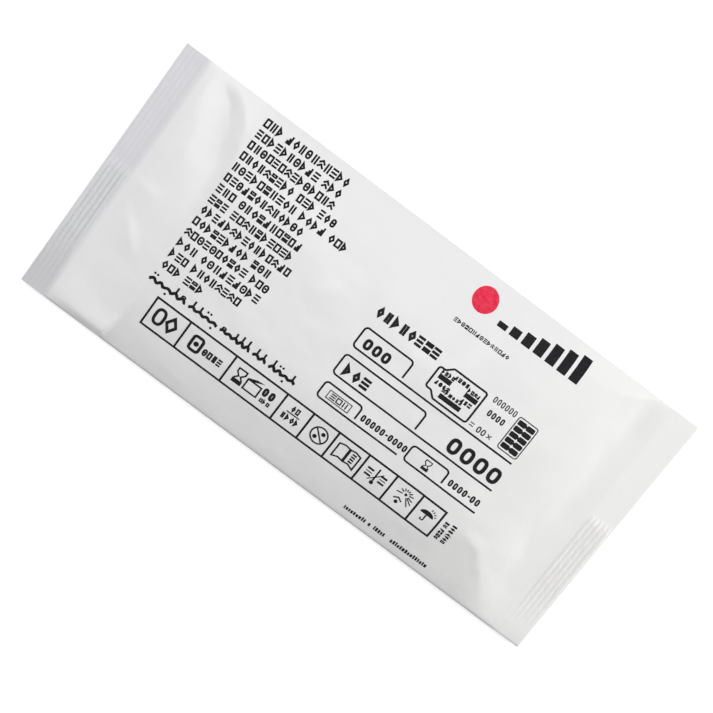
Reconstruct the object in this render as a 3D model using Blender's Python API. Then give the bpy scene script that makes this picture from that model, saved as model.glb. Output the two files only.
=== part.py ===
"""A sealed film pouch that holds a stack of cards of tab electrodes, lying on its back.

Run it with: blender --background --python part.py

The pouch is one web of film: folded along both long sides, closed by a seam down its back, and
crimped shut across both ends. It can't be seen into, so it is one closed body.
Metres. X runs along the pouch, Y across it and Z up. The origin is on the surface that the pouch
lies on, under its middle.
"""

import math

import bmesh
import bpy
from mathutils import Vector

COLLECTION = "electrode_pouch"

# The stack of cards inside the pouch
STACK_LENGTH = 0.144
STACK_WIDTH = 0.079
STACK_HEIGHT = 0.0060  # of the film over the stack's two long edges
CROWN = 0.0030  # how much higher the film stands over the stack's middle line
CROWN_POWER = 2.4  # how flat the film is there
CROWN_BEND = 0.15  # how softly that swell ends at the stack's edges
BASE_INSET = 0.003  # from the stack's edge to where the flat underside ends

# The film round it. Each wall is the width, seen from above, of the slope from the stack's edge
# down to the rim. The stack has slid towards the far side.
LEFT_WALL = 0.0255
RIGHT_WALL = 0.0152
RIGHT_FLAT = 0.0067  # strip beside the right seal where the film lies flat
NEAR_WALL = 0.0120
NEAR_SLOPE = 0.0140  # width that the near wall's slope would have if it ran on without its bend
NEAR_SHOULDER = 0.0030  # width of that slope where it runs on beside the left wall
SHOULDER_STEP = 0.0030  # along the pouch, over which it takes that width
FAR_WALL = 0.0070
RIM_HEIGHT = 0.0016  # of the underside of the end seals and folded sides
FILM_PAIR = 0.00035  # thickness of two plies sealed together

# How sharply the film bends
SEAL_BEND = 0.0012  # length of the bend where it leaves an end seal
FACET_BEND = 0.00005  # height lost where a facet leaves the rim
CREASE_SHARPNESS = 14.0  # where two facets meet
RIGHT_ROUNDNESS = 5.0  # of the bend from the right wall up to the stack: the less, the rounder
NEAR_ROUNDNESS = 7.0  # and of the one from the near wall

# The crimped ridges, which run across each end seal
CRIMP_RIDGES = 5
CRIMP_PITCH = 0.00175
CRIMP_MARGIN = 0.00025  # of flat film on each side of the ridges
CRIMP_HEIGHT = 0.00050
CRIMP_FAINT = 0.15  # share of that height where the seal has only two plies
CRIMP_START = 0.0044  # across the pouch, where the back seam begins to deepen them
CRIMP_ONSET = 0.0012  # over which they deepen
CRIMP_DEEP = 0.0285  # over which they stay deep
CRIMP_FADE = 0.018  # over which they fade again

# The back seam: a flap of sealed film, folded flat against the underside
SEAM_ROOT = 0.0040  # across the pouch
SEAM_WIDTH = 0.014
SEAM_PLIES = 0.00030  # thickness of the flap
SEAM_BEVEL = 0.0004  # across its free edge and its root
SEAM_RELAX = 0.008  # beyond the free edge, where the film is down on the table again

# How far the foot of the right wall runs out at the near side, and over what width there
RIGHT_FLARE = 0.004
RIGHT_FLARE_REACH = 0.017

# The near right corner, where the film lies as one flat facet from the foot of the right wall to
# the stack's edges. Each value is a distance from the stack's own corner.
FACET_ALONG = 0.035
FACET_ACROSS = 0.015

# The crease at the far left corner, where the film dips between the left wall and the stack. Its
# line is given by how far it lies out from the stack's left edge and in from its far edge.
LEFT_CREASE = (
    (0.0221, -0.0114),
    (0.0174, -0.0040),
    (0.0111, 0.0008),
    (0.0077, 0.0070),
    (0.0057, 0.0134),
    (0.0034, 0.0212),
    (0.0031, 0.0322),
    (0.0028, 0.0454),
)
LEFT_CREASE_DEPTH = 0.0024
LEFT_CREASE_REACH = (0.0052, 0.0105)  # towards the stack and away from it
LEFT_CREASE_BEND = 0.0008

# The crest over the near right corner. Its line is given by how far it lies out from the stack's
# right edge and in from its near edge.
RIGHT_CREST = (
    (-0.0438, -0.0090),
    (-0.0238, 0.0030),
    (-0.0118, 0.0110),
    (-0.0038, 0.0095),
    (0.0072, -0.0025),
    (0.0162, -0.0130),
    (0.0412, -0.0430),
)
RIGHT_CREST_HEIGHT = 0.0012
RIGHT_CREST_REACH = (0.014, 0.012)  # towards the far side and towards the near side
RIGHT_CREST_BEND = 0.003

FOLD_POWER = 1.3  # how hollow a fold's sides are
FOLD_ROOT = 0.00315  # height of the film over which a fold grows to its full height
FOLD_ENDS = (0.25, 0.45)  # share of its line over which it rises and over which it fades

# The grid of the mesh
END_STEP = 0.0032
MIDDLE_STEP = 0.0085
ACROSS_STEP = 0.0046
LEAST_STEP = 0.0002

# Places worked out from the sizes
SEAL_WIDTH = CRIMP_RIDGES * CRIMP_PITCH + 2 * CRIMP_MARGIN
SEAL_LINE = (LEFT_WALL + STACK_LENGTH + RIGHT_WALL + RIGHT_FLAT) / 2
POUCH_END = SEAL_LINE + SEAL_WIDTH
POUCH_SIDE = (NEAR_WALL + STACK_WIDTH + FAR_WALL) / 2
STACK_LEFT = LEFT_WALL - SEAL_LINE
RIGHT_FOOT = SEAL_LINE - RIGHT_FLAT
STACK_RIGHT = RIGHT_FOOT - RIGHT_WALL
STACK_NEAR = NEAR_WALL - POUCH_SIDE
STACK_FAR = POUCH_SIDE - FAR_WALL
STACK_MIDDLE = (STACK_NEAR + STACK_FAR) / 2
RIM_TOP = RIM_HEIGHT + FILM_PAIR
EDGE_RISE = STACK_HEIGHT - RIM_TOP

# The film's finish
FILM_COLOR = (0.80, 0.80, 0.81, 1.0)
FILM_ROUGHNESS = 0.42
SHARP_ANGLE = math.radians(35)


def share(value, start, end):
    """How far the value lies from start to end, from 0 to 1."""
    return min(1.0, max(0.0, (value - start) / (end - start)))


def rising(distance, bend):
    """0 before the line and the distance past it, with the turn between them softened."""
    return (distance + math.hypot(distance, bend)) / 2


def blended(heights, sharpness):
    """The lowest of the heights above the rim, with each crossing rounded in step with its height."""
    if min(heights) <= 0:
        return 0.0
    return sum(height**-sharpness for height in heights) ** (-1 / sharpness)


def over_stack(y):
    """Height above the rim of the film over the stack, which swells towards the middle line."""
    across = abs(y - STACK_MIDDLE) / (STACK_WIDTH / 2)
    return EDGE_RISE + CROWN * rising(1 - across**CROWN_POWER, CROWN_BEND) / rising(1, CROWN_BEND)


def facet_height(x, y):
    """Height above the rim of the flat facet at the near right corner."""
    end_y = STACK_NEAR + FACET_ACROSS
    corner = Vector((RIGHT_FOOT + RIGHT_FLARE, -POUCH_SIDE, 0))
    on_end = Vector((STACK_RIGHT, end_y, over_stack(end_y)))
    on_side = Vector((STACK_RIGHT - FACET_ALONG, STACK_NEAR, EDGE_RISE))
    normal = (on_end - corner).cross(on_side - corner)
    height = -(normal.x * (x - corner.x) + normal.y * (y - corner.y)) / normal.z
    return rising(height, FACET_BEND)


def eased(part):
    """The part from 0 to 1 with a soft start and end."""
    return part * part * (3 - 2 * part)


def fold(x, y, line, reach, bend):
    """Share of a fold's height that it has at the place. Its reach is to its line's left and right."""
    place = Vector((x, y))
    nearest, along, on_left = math.inf, 0.0, False
    for index, (start, end) in enumerate(zip(line, line[1:])):
        run = end - start
        part = share((place - start).dot(run) / run.length_squared, 0, 1)
        distance = (place - start - part * run).length
        if distance < nearest:
            nearest = distance
            along = (index + part) / (len(line) - 1)
            on_left = run.cross(place - start) > 0
    away = (math.hypot(nearest, bend) - bend) / (reach[0] if on_left else reach[1])
    fading = eased(share(along, 0, FOLD_ENDS[0])) * eased(share(along, 1, 1 - FOLD_ENDS[1]))
    return fading * max(0.0, 1 - away) ** FOLD_POWER


def folds(x, y):
    """Height of the crest over one corner of the stack, less the depth of the crease at another."""
    crease = [Vector((STACK_LEFT - out, STACK_FAR - inward)) for out, inward in LEFT_CREASE]
    crest = [Vector((STACK_RIGHT + out, STACK_NEAR + inward)) for out, inward in RIGHT_CREST]
    dip = LEFT_CREASE_DEPTH * fold(x, y, crease, LEFT_CREASE_REACH, LEFT_CREASE_BEND)
    return RIGHT_CREST_HEIGHT * fold(x, y, crest, RIGHT_CREST_REACH, RIGHT_CREST_BEND) - dip


def crimp(x, y):
    """Height of the crimped ridges, which both plies follow."""
    inward = (POUCH_END - CRIMP_MARGIN - abs(x)) / CRIMP_PITCH
    if not 0 < inward < CRIMP_RIDGES:
        return 0.0
    ridge = 1 - abs(2 * (inward % 1) - 1)
    deepened = share(y, CRIMP_START, CRIMP_START - CRIMP_ONSET)
    faded = share(y, CRIMP_START - CRIMP_DEEP, CRIMP_START - CRIMP_DEEP - CRIMP_FADE)
    strength = CRIMP_FAINT + (1 - CRIMP_FAINT) * deepened * (1 - faded)
    return CRIMP_HEIGHT * strength * ridge


def top_height(x, y):
    """Height of the film's top: the lowest of its sloping walls and of the film over the stack."""
    crowned = over_stack(y)
    beside = share(x, STACK_LEFT, STACK_LEFT - SHOULDER_STEP)
    near_width = NEAR_SLOPE + (NEAR_SHOULDER - NEAR_SLOPE) * beside
    near = EDGE_RISE * (y + POUCH_SIDE) / near_width
    shoulder = EDGE_RISE * (y + POUCH_SIDE) / NEAR_SHOULDER
    far = EDGE_RISE * (POUCH_SIDE - y) / FAR_WALL
    left = blended((crowned, shoulder, far), CREASE_SHARPNESS) * rising(x + SEAL_LINE, SEAL_BEND)
    right_foot = RIGHT_FOOT + RIGHT_FLARE * share(-y, POUCH_SIDE - RIGHT_FLARE_REACH, POUCH_SIDE)
    right = crowned * rising(right_foot - x, SEAL_BEND) / RIGHT_WALL
    over = blended((crowned, right), RIGHT_ROUNDNESS) * blended((crowned, near), NEAR_ROUNDNESS) / crowned
    height = blended((over, left / LEFT_WALL, far, facet_height(x, y)), CREASE_SHARPNESS)
    height += folds(x, y) * share(height, 0, FOLD_ROOT)
    return RIM_TOP + height + crimp(x, y)


def under_height(x, y):
    """Height of the film's underside: on the table under the stack, and lifted towards the rim."""
    lift = max(
        share(x, STACK_RIGHT - BASE_INSET, RIGHT_FOOT),
        share(-x, BASE_INSET - STACK_LEFT, SEAL_LINE),
        share(y, STACK_FAR - BASE_INSET, POUCH_SIDE),
        share(-y, BASE_INSET - STACK_NEAR, POUCH_SIDE),
    )
    flap_edge = SEAM_ROOT - SEAM_WIDTH
    past_edge = share(y, flap_edge, flap_edge - SEAM_BEVEL)
    relaxed = share(y, flap_edge - SEAM_BEVEL, flap_edge - SEAM_RELAX)
    on_flap = share(y, SEAM_ROOT, SEAM_ROOT - SEAM_BEVEL) * (1 - past_edge)
    groove = 1 - share(abs(y - SEAM_ROOT), 0, SEAM_BEVEL)
    beside = past_edge * (1 - relaxed) + groove
    seam = (1 - lift) * beside - lift * on_flap
    return RIM_HEIGHT * lift + SEAM_PLIES * seam + crimp(x, y)


def grid_lines(features, step):
    """Lines at the features and evenly between them, no further apart than the step."""
    ordered = sorted(features)
    lines = [ordered[0]]
    for feature in ordered[1:]:
        gap = feature - lines[-1]
        if gap < LEAST_STEP:
            continue
        start, count = lines[-1], math.ceil(gap / step)
        lines += [start + gap * part / count for part in range(1, count + 1)]
    return lines


def grid_columns():
    """Grid lines along the pouch: close on the end seals and walls, and wide over the stack."""
    first = POUCH_END - CRIMP_MARGIN
    turns = [first - CRIMP_PITCH * half / 2 for half in range(2 * CRIMP_RIDGES + 1)]
    right = [POUCH_END, *turns, SEAL_LINE, RIGHT_FOOT, STACK_RIGHT, STACK_RIGHT - BASE_INSET]
    left = [-POUCH_END, *(-turn for turn in turns), -SEAL_LINE, STACK_LEFT, STACK_LEFT + BASE_INSET]
    middle = [STACK_LEFT + BASE_INSET, STACK_RIGHT - BASE_INSET]
    lines = grid_lines(left, END_STEP) + grid_lines(middle, MIDDLE_STEP) + grid_lines(right, END_STEP)
    return grid_lines(lines, MIDDLE_STEP)


def grid_rows():
    """Grid lines across the pouch, with lines of their own at the back seam's edges."""
    flap_edge = SEAM_ROOT - SEAM_WIDTH
    features = [
        -POUCH_SIDE,
        STACK_NEAR,
        STACK_NEAR + BASE_INSET,
        CRIMP_START - CRIMP_DEEP,
        flap_edge - SEAM_RELAX,
        flap_edge - SEAM_BEVEL,
        flap_edge,
        SEAM_ROOT - SEAM_BEVEL,
        SEAM_ROOT,
        SEAM_ROOT + SEAM_BEVEL,
        CRIMP_START,
        STACK_FAR - BASE_INSET,
        STACK_FAR,
        POUCH_SIDE,
    ]
    return grid_lines(features, ACROSS_STEP)


def add_sheet(shape, columns, rows, height):
    """Adds a sheet of film with a vertex where each two grid lines cross."""
    last_column, last_row = len(columns) - 1, len(rows) - 1
    grid = bmesh.ops.create_grid(shape, x_segments=last_column, y_segments=last_row, size=0.5)
    for vertex in grid["verts"]:
        x = columns[round((vertex.co.x + 0.5) * last_column)]
        y = rows[round((vertex.co.y + 0.5) * last_row)]
        vertex.co = (x, y, height(x, y))


def film_material():
    """White laminated film with a satin surface."""
    material = bpy.data.materials.new("white_film")
    material.use_nodes = True
    surface = material.node_tree.nodes["Principled BSDF"]
    surface.inputs["Base Color"].default_value = FILM_COLOR
    surface.inputs["Roughness"].default_value = FILM_ROUGHNESS
    surface.inputs["Metallic"].default_value = 0.0
    return material


def make_pouch(collection):
    """The film's top and underside, joined round the rim."""
    columns, rows = grid_columns(), grid_rows()
    shape = bmesh.new()
    add_sheet(shape, columns, rows, top_height)
    add_sheet(shape, columns, rows, under_height)
    bmesh.ops.bridge_loops(shape, edges=[edge for edge in shape.edges if edge.is_boundary])
    bmesh.ops.recalc_face_normals(shape, faces=shape.faces)
    mesh = bpy.data.meshes.new("pouch")
    shape.to_mesh(mesh)
    shape.free()
    mesh.shade_smooth()
    mesh.set_sharp_from_angle(angle=SHARP_ANGLE)
    mesh.materials.append(film_material())
    collection.objects.link(bpy.data.objects.new("pouch", mesh))


def main():
    for old in list(bpy.data.objects):
        bpy.data.objects.remove(old, do_unlink=True)
    collection = bpy.data.collections.new(COLLECTION)
    bpy.context.scene.collection.children.link(collection)
    make_pouch(collection)


main()
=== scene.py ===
"""The looks of the sealed electrode pouch: its creased film, its print and a plain studio.

X runs along the pouch, Y across it and Z up, out of the printed front. The film's sizes are in
metres. The print is laid out in millimetres, as a print drawing is, and becomes metres when it is
laid on the film.
"""

import math
import random

import bmesh
import bpy
import numpy as np
from mathutils import Matrix, Vector, noise


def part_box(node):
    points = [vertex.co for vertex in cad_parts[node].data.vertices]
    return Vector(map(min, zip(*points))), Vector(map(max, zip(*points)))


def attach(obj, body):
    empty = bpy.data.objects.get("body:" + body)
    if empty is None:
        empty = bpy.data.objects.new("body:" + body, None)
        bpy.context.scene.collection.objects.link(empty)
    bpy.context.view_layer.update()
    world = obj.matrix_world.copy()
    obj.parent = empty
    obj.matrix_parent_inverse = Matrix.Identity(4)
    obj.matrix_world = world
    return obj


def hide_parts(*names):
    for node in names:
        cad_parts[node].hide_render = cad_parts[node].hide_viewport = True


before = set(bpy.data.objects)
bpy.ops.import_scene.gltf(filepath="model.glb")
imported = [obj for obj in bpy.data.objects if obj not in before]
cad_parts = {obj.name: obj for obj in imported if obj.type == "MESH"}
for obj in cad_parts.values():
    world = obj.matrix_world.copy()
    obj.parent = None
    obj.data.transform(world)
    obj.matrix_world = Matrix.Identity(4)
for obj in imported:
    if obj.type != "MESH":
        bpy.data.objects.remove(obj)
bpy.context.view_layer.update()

POUCH_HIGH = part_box("pouch")[1]
MM = 0.001

# The film's form, with the values that the solid has
POUCH_END = POUCH_HIGH[0]
POUCH_SIDE = POUCH_HIGH[1]
LEFT_WALL = 0.0255
RIGHT_WALL = 0.0152
RIGHT_FLAT = 0.0067
NEAR_WALL = 0.0120
NEAR_SLOPE = 0.0140
NEAR_SHOULDER = 0.0030
FAR_WALL = 0.0070
STACK_HEIGHT = 0.0060
CROWN_POWER = 2.4
CROWN_BEND = 0.15
BASE_INSET = 0.003
RIM_HEIGHT = 0.0016
FILM_PAIR = 0.00035
SEAL_BEND = 0.0012
FACET_BEND = 0.00005
CREASE_SHARPNESS = 14.0
RIGHT_ROUNDNESS = 5.0
NEAR_ROUNDNESS = 7.0
CRIMP_RIDGES = 5
CRIMP_PITCH = 0.00175
CRIMP_MARGIN = 0.00025
CRIMP_START = 0.0044
CRIMP_DEEP = 0.0285
CRIMP_FADE = 0.018
SEAM_ROOT = 0.0040
SEAM_WIDTH = 0.014
SEAM_PLIES = 0.00030
SEAM_BEVEL = 0.0004
SEAM_RELAX = 0.008
RIGHT_FLARE = 0.004
RIGHT_FLARE_REACH = 0.017
FACET_ALONG = 0.035
FACET_ACROSS = 0.015

# Where the film's form is finer than the solid's: a shorter shoulder, and higher, narrower crimps
SHOULDER_STEP = 0.0020
CRIMP_HEIGHT = 0.00068
CRIMP_POWER = 1.7  # how narrow a ridge is
CRIMP_FAINT = 0.08
CRIMP_ONSET = 0.0030

# Places worked out from the sizes
SEAL_WIDTH = CRIMP_RIDGES * CRIMP_PITCH + 2 * CRIMP_MARGIN
SEAL_LINE = POUCH_END - SEAL_WIDTH
STACK_LEFT = LEFT_WALL - SEAL_LINE
RIGHT_FOOT = SEAL_LINE - RIGHT_FLAT
STACK_RIGHT = RIGHT_FOOT - RIGHT_WALL
STACK_NEAR = NEAR_WALL - POUCH_SIDE
STACK_FAR = POUCH_SIDE - FAR_WALL
STACK_MIDDLE = (STACK_NEAR + STACK_FAR) / 2
STACK_HALF = (STACK_FAR - STACK_NEAR) / 2
RIM_TOP = RIM_HEIGHT + FILM_PAIR
EDGE_RISE = STACK_HEIGHT - RIM_TOP
CROWN = POUCH_HIGH[2] - STACK_HEIGHT
NO_HEIGHT = 1e-9  # stands for a height of nothing where one is divided by
STEP_SLACK = 1e-6  # more than rounding adds to a count of steps

# The rolled folds along both long sides, which the solid lacks
ROLL_HEIGHT = 0.00055
NEAR_ROLL = 0.0004  # width over which the near one rises
FAR_ROLL = 0.0009  # and the far one
ROLL_FADE = 0.004  # along the pouch, over which both end at the seals

# The strip beside the right seal, which lies lower than the solid's
LOW_STRIP = 0.0009
LOW_STRIP_FADE = 0.014  # across the pouch, over which it ends at the folded sides

# Fine wrinkles, from noise: the size of a wrinkle along and across the pouch, and its layer in the
# noise, for those that are everywhere, at the folded sides and at the right wall's foot
WRINKLE_SIZES = (
    (0.015, 0.012, 3.1),
    (0.0045, 0.02, 7.7),
    (0.008, 0.011, 5.3),
)
WRINKLE_HEIGHT = 0.00026
WRINKLE_FINER = 2.3  # how many times finer a second noise everywhere is
WRINKLE_FAINTER = 0.4  # and how strong
SIDE_WRINKLES = 0.9  # how strong those at the folded sides are
SIDE_REACH = 0.005
FOOT_WRINKLES = 1.0  # and those at the foot of the right wall
FOOT_REACH = 0.007
WRINKLE_ROOT = 0.0015  # height of the film over which they grow to their full height

# The named folds: the parts of their length at which they have risen and begin to fall, how hollow
# their sides are, and the height of the film over which they grow to their full height
FOLD_RISEN = 0.25
FOLD_FALLING = 0.55
FOLD_POWER = 1.3
FOLD_ROOT = 0.00315

# The film's grid
FINE_STEP = CRIMP_PITCH / 8
FILM_STEP = 0.0008
ROLL_STEP = 0.00014
ROLL_REACH = 0.002
SHARP_ANGLE = math.radians(50)  # of edges that stay sharp in the shading

# The print's ink: how far it stands out of the film, and how thick it is
INK_PROUD = 0.00004
INK_DEPTH = 0.00008

# How the print's shapes are drawn
MITRE_LIMIT = 0.3  # cosine beyond which a sharp turn's mitre grows no longer
ARC_STEPS = 4
OVAL_STEPS = 24
OVAL_POWER = 0.75  # fuller at the corners than an ellipse
SMALL_DISC = 0.5  # radius up to which a disc has fewer steps
SMALL_DISC_STEPS = 10
DISC_STEPS = 24
RING_STEPS = 32

# Colours of the film: over the stack, painted light on the empty left wall, painted light with a warm tint
# on the right wall and seal, and painted shade on the strip between those two, beside the near folded side
# and on it
FILM_COLOR = (0.787, 0.784, 0.784, 1.0)
FILM_PAINTED_LIGHT_LEFT = (0.825, 0.823, 0.823, 1.0)
FILM_WARM_PAINTED_LIGHT = (0.83, 0.828, 0.814, 1.0)
FILM_PAINTED_SHADE_STRIP = (0.806, 0.805, 0.794, 1.0)
FILM_PAINTED_SHADE_EDGE = (0.68, 0.68, 0.688, 1.0)
FILM_PAINTED_SHADE_FOLD = (0.50, 0.50, 0.51, 1.0)

# Colours of the left seal: its plain film, cool in tone and darkened with painted shade, painted light
# where its crimps are deep, and painted shade at its near end
FILM_COOL_AND_PAINTED_SHADE = (0.652, 0.645, 0.675, 1.0)
FILM_PAINTED_CRIMP_LIGHT = (0.685, 0.691, 0.707, 1.0)
FILM_PAINTED_SHADE_SEAL_END = (0.565, 0.56, 0.585, 1.0)

# The film's tints, painted light and painted shade among them, in the order in which they are laid on: the
# axis along which each one changes, from where to where, how strong it is at those two places, and its
# colour
FILM_TINTS = (
    # painted light on the empty left wall
    ("X", -0.074, -0.068, 1.0, 0.0, FILM_PAINTED_LIGHT_LEFT),
    # painted light, with a warm tint, towards the right end
    ("X", 0.05, 0.08, 0.0, 1.0, FILM_WARM_PAINTED_LIGHT),
    # painted shade on the low strip between the right wall and the right seal
    ("X", 0.085, 0.0875, 0.0, 1.0, FILM_PAINTED_SHADE_STRIP),
    # the same painted light and warm tint again on the right seal, past the painted shade
    ("X", 0.094, 0.096, 0.0, 1.0, FILM_WARM_PAINTED_LIGHT),
    # painted shade beside the near folded side
    ("Y", -0.0475, -0.0425, 0.5, 0.0, FILM_PAINTED_SHADE_EDGE),
    # darker painted shade on the near folded edge
    ("Y", -0.0488, -0.0480, 1.0, 0.0, FILM_PAINTED_SHADE_FOLD),
)
SEAL_TINTS = (
    # painted light where the crimps are deep, for their highlights
    ("Y", CRIMP_START - CRIMP_ONSET, CRIMP_START, 1.0, 0.0, FILM_PAINTED_CRIMP_LIGHT),
    # painted shade at the left seal's near end
    ("Y", -0.041, -0.023, 1.0, 0.0, FILM_PAINTED_SHADE_SEAL_END),
)
SEAL_TURNS = (-0.0965, -0.0943)  # along the pouch, where the left seal's colour and its painted shade end

# The film's surface: each noise has a scale per metre and a detail
GLOSS_NOISE = (90.0, 3.0)
GLOSS_SPREAD = (0.3, 0.7)  # the noise's values between which the roughness changes
FILM_ROUGHNESS = (0.36, 0.50)
FILM_BUMPS = (
    ((120.0, 5.0), 0.00035, 0.5),  # crinkles: their noise, height and strength
    ((2200.0, 2.0), 0.00003, 0.6),  # and the film's grain
)

# The ink: its full colour, and its colour where it lies thin
INK_COLOR = (0.005, 0.005, 0.006, 1.0)
INK_THIN = (0.014, 0.014, 0.016, 1.0)
RED_COLOR = (0.72, 0.02, 0.06, 1.0)
RED_THIN = (0.80, 0.06, 0.11, 1.0)
INK_NOISE = (900.0, 2.0)
INK_SPREAD = (0.35, 0.75)
INK_ROUGHNESS = 0.6
INK_SHEEN = 0.12

# The floor, whose lift is what its own light adds to it as the camera sees it
FLOOR_HALF = 3.0
FLOOR_COLOR = (0.8, 0.8, 0.8, 1.0)
FLOOR_ROUGHNESS = 0.9
FLOOR_NEAR = 0.25  # from the pouch's middle, up to where the lift is plain
FLOOR_FAR = 0.60  # and from where it is full
FLOOR_LIFT = 0.43
FLOOR_FULL = 1.0

# The light: the surround's strength, and each lamp's place, size and power
AMBIENT = 0.15
LAMPS = {
    "top_lamp": ((0.0, 0.0, 1.0), 0.5, 3.19),
    "far_left_lamp": ((-0.674, 0.389, 0.778), 0.55, 3.97),
    "far_right_lamp": ((0.883, 0.510, 0.412), 0.55, 6.09),
    "right_lamp": ((0.349, 0.127, 0.150), 0.2, 0.16),
    "left_lamp": ((-0.985, 0.264, 0.412), 0.55, 1.67),
}
WHITE = (1, 1, 1, 1)

# The camera: a long lens from above the far side, turned so that the pouch lies across the picture
CAMERA_PLACE = (-0.0302, 0.1405, 0.607)
CAMERA_TARGET = (0.0006, -0.0005, 0.004)
CAMERA_ROLL = math.radians(-36.5)
CAMERA_LENS = 94.1
SENSOR_WIDTH = 36.0
CAMERA_NEAR = 0.01  # distance from which it sees


def rising(distance, bend):
    """0 before the line and the distance past it, with the turn between them softened."""
    return (distance + np.hypot(distance, bend)) / 2


def blended(heights, sharpness):
    """The lowest of the heights above the rim, with each crossing rounded in step with its height."""
    least = np.minimum.reduce(heights)
    powers = sum(np.maximum(height, NO_HEIGHT) ** -sharpness for height in heights)
    return np.where(least > 0, powers ** (-1 / sharpness), 0.0)


def share(value, start, end):
    """How far the value lies from start to end, from 0 to 1."""
    return np.clip((value - start) / (end - start), 0.0, 1.0)


def eased(part):
    """The part from 0 to 1 with a soft start and end."""
    return part * part * (3 - 2 * part)


def over_stack(y):
    """Height above the rim of the film over the stack, which swells towards the middle line."""
    across = np.abs(y - STACK_MIDDLE) / STACK_HALF
    return EDGE_RISE + CROWN * rising(1 - across**CROWN_POWER, CROWN_BEND) / rising(1, CROWN_BEND)


def facet_height(x, y):
    """Height above the rim of the flat facet at the near right corner."""
    end_y = STACK_NEAR + FACET_ACROSS
    corner = Vector((RIGHT_FOOT + RIGHT_FLARE, -POUCH_SIDE, 0))
    on_end = Vector((STACK_RIGHT, end_y, over_stack(end_y)))
    on_side = Vector((STACK_RIGHT - FACET_ALONG, STACK_NEAR, EDGE_RISE))
    normal = (on_end - corner).cross(on_side - corner)
    height = -(normal.x * (x - corner.x) + normal.y * (y - corner.y)) / normal.z
    return rising(height, FACET_BEND)


def line_distance(x, y, points):
    """Distance of each place from the line, how far along it that lies, and if it is on its left."""
    nearest = np.full(np.shape(x), np.inf)
    along = np.zeros(np.shape(x))
    on_left = np.zeros(np.shape(x), bool)
    count = len(points) - 1
    for index, ((ax, ay), (bx, by)) in enumerate(zip(points, points[1:])):
        dx, dy = bx - ax, by - ay
        part = np.clip(((x - ax) * dx + (y - ay) * dy) / (dx * dx + dy * dy), 0.0, 1.0)
        distance = np.hypot(x - ax - part * dx, y - ay - part * dy)
        along = np.where(distance < nearest, (index + part) / count, along)
        on_left = np.where(distance < nearest, dx * (y - ay) > dy * (x - ax), on_left)
        nearest = np.minimum(nearest, distance)
    return nearest, along, on_left


# Valleys and ridges that the film has taken, in millimetres: the line of each, its height, how far
# it reaches to its left and to its right, and how round it is. A height below zero is a valley. The
# deep crease and the near ridge are on the solid too.
DEEP_CREASE = (
    (-92.3, 53.4), (-87.6, 46.0), (-81.3, 41.2), (-77.9, 35.0),
    (-75.9, 28.6), (-73.6, 20.8), (-73.3, 9.8), (-73.0, -3.4),
)
NEAR_RIDGE = ((31, -46), (51, -34), (63, -26), (71.3, -27.5), (82.3, -39.5), (91.3, -50), (116, -80))
FOLDS = (
    (DEEP_CREASE, -2.5, 5.2, 10.5, 0.6),
    (((-95.0, 60.3), (-86.5, 40.8), (-83.3, 20.3)), -0.9, 8.2, 8.0, 3.0),
    (((-93.5, 58.0), (-88.0, 47.5), (-83.5, 41.5), (-79.0, 34.5)), -1.1, 6.5, 6.5, 0.5),
    (((-75.0, 20.0), (-30.0, 18.0), (30.0, 12.0), (60.0, 8.0)), 0.45, 26.0, 18.0, 3.0),
    (((-75.0, 42.3), (10.0, 42.6), (95.0, 42.0)), -0.18, 3.0, 8.0, 0.6),
    (((-91.0, 25.6), (-85.5, 10.8)), -0.32, 14.0, 6.0, 1.0),
    (((-97.3, 2.9), (-89.5, 2.4), (-80.1, 3.0)), 0.6, 3.2, 9.8, 0.4),
    (((-93.3, -2.8), (-88.3, -8.6), (-82.6, -14.5), (-77.0, -19.4)), 0.6, 3.4, 8.6, 0.3),
    (NEAR_RIDGE, 1.15, 14.0, 12.0, 3.0),
    (((61, -24), (72.3, -28), (81.3, -38.5), (91.3, -50), (113, -76)), 0.4, 4.0, 3.0, 0.2),
    (((80, -2), (88, -28), (95, -50)), -0.6, 4.0, 4.0, 0.5),
)


def folds(x, y):
    """Height of the named valleys and ridges."""
    height = np.zeros(np.shape(x))
    for points, rise, left_reach, right_reach, roundness in FOLDS:
        distance, along, on_left = line_distance(x / MM, y / MM, points)
        distance = np.hypot(distance, roundness) - roundness
        profile = np.maximum(0.0, 1 - distance / np.where(on_left, left_reach, right_reach))
        fading = eased(share(along, 0.0, FOLD_RISEN)) * eased(share(along, 1.0, FOLD_FALLING))
        height += rise * MM * fading * profile**FOLD_POWER
    return height


def crimp(x, y):
    """Height of the crimped ridges, which both plies follow."""
    inward = (POUCH_END - CRIMP_MARGIN - np.abs(x)) / CRIMP_PITCH
    inside = (inward > 0) & (inward < CRIMP_RIDGES)
    ridge = np.abs(np.sin(np.pi * inward)) ** CRIMP_POWER
    deepened = share(y, CRIMP_START, CRIMP_START - CRIMP_ONSET)
    faded = share(y, CRIMP_START - CRIMP_DEEP, CRIMP_START - CRIMP_DEEP - CRIMP_FADE)
    strength = CRIMP_FAINT + (1 - CRIMP_FAINT) * deepened * (1 - faded)
    return np.where(inside, CRIMP_HEIGHT * strength * ridge, 0.0)


def wrinkles(x, y):
    """Fine wrinkles: everywhere, more of them at the folded sides, and more at the right wall's foot."""
    height = np.zeros(np.shape(x))
    for index in np.ndindex(height.shape):
        place, side_place, foot_place = (
            Vector((x[index] / length, y[index] / width, layer)) for length, width, layer in WRINKLE_SIZES
        )
        at_side = SIDE_WRINKLES * math.exp((abs(y[index]) - POUCH_SIDE) / SIDE_REACH)
        at_foot = FOOT_WRINKLES * math.exp(-(((x[index] - RIGHT_FOOT) / FOOT_REACH) ** 2))
        height[index] = (
            noise.noise(place) + WRINKLE_FAINTER * noise.noise(place * WRINKLE_FINER)
            + at_side * noise.noise(side_place) + at_foot * noise.noise(foot_place)
        )
    return height * WRINKLE_HEIGHT


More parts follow.
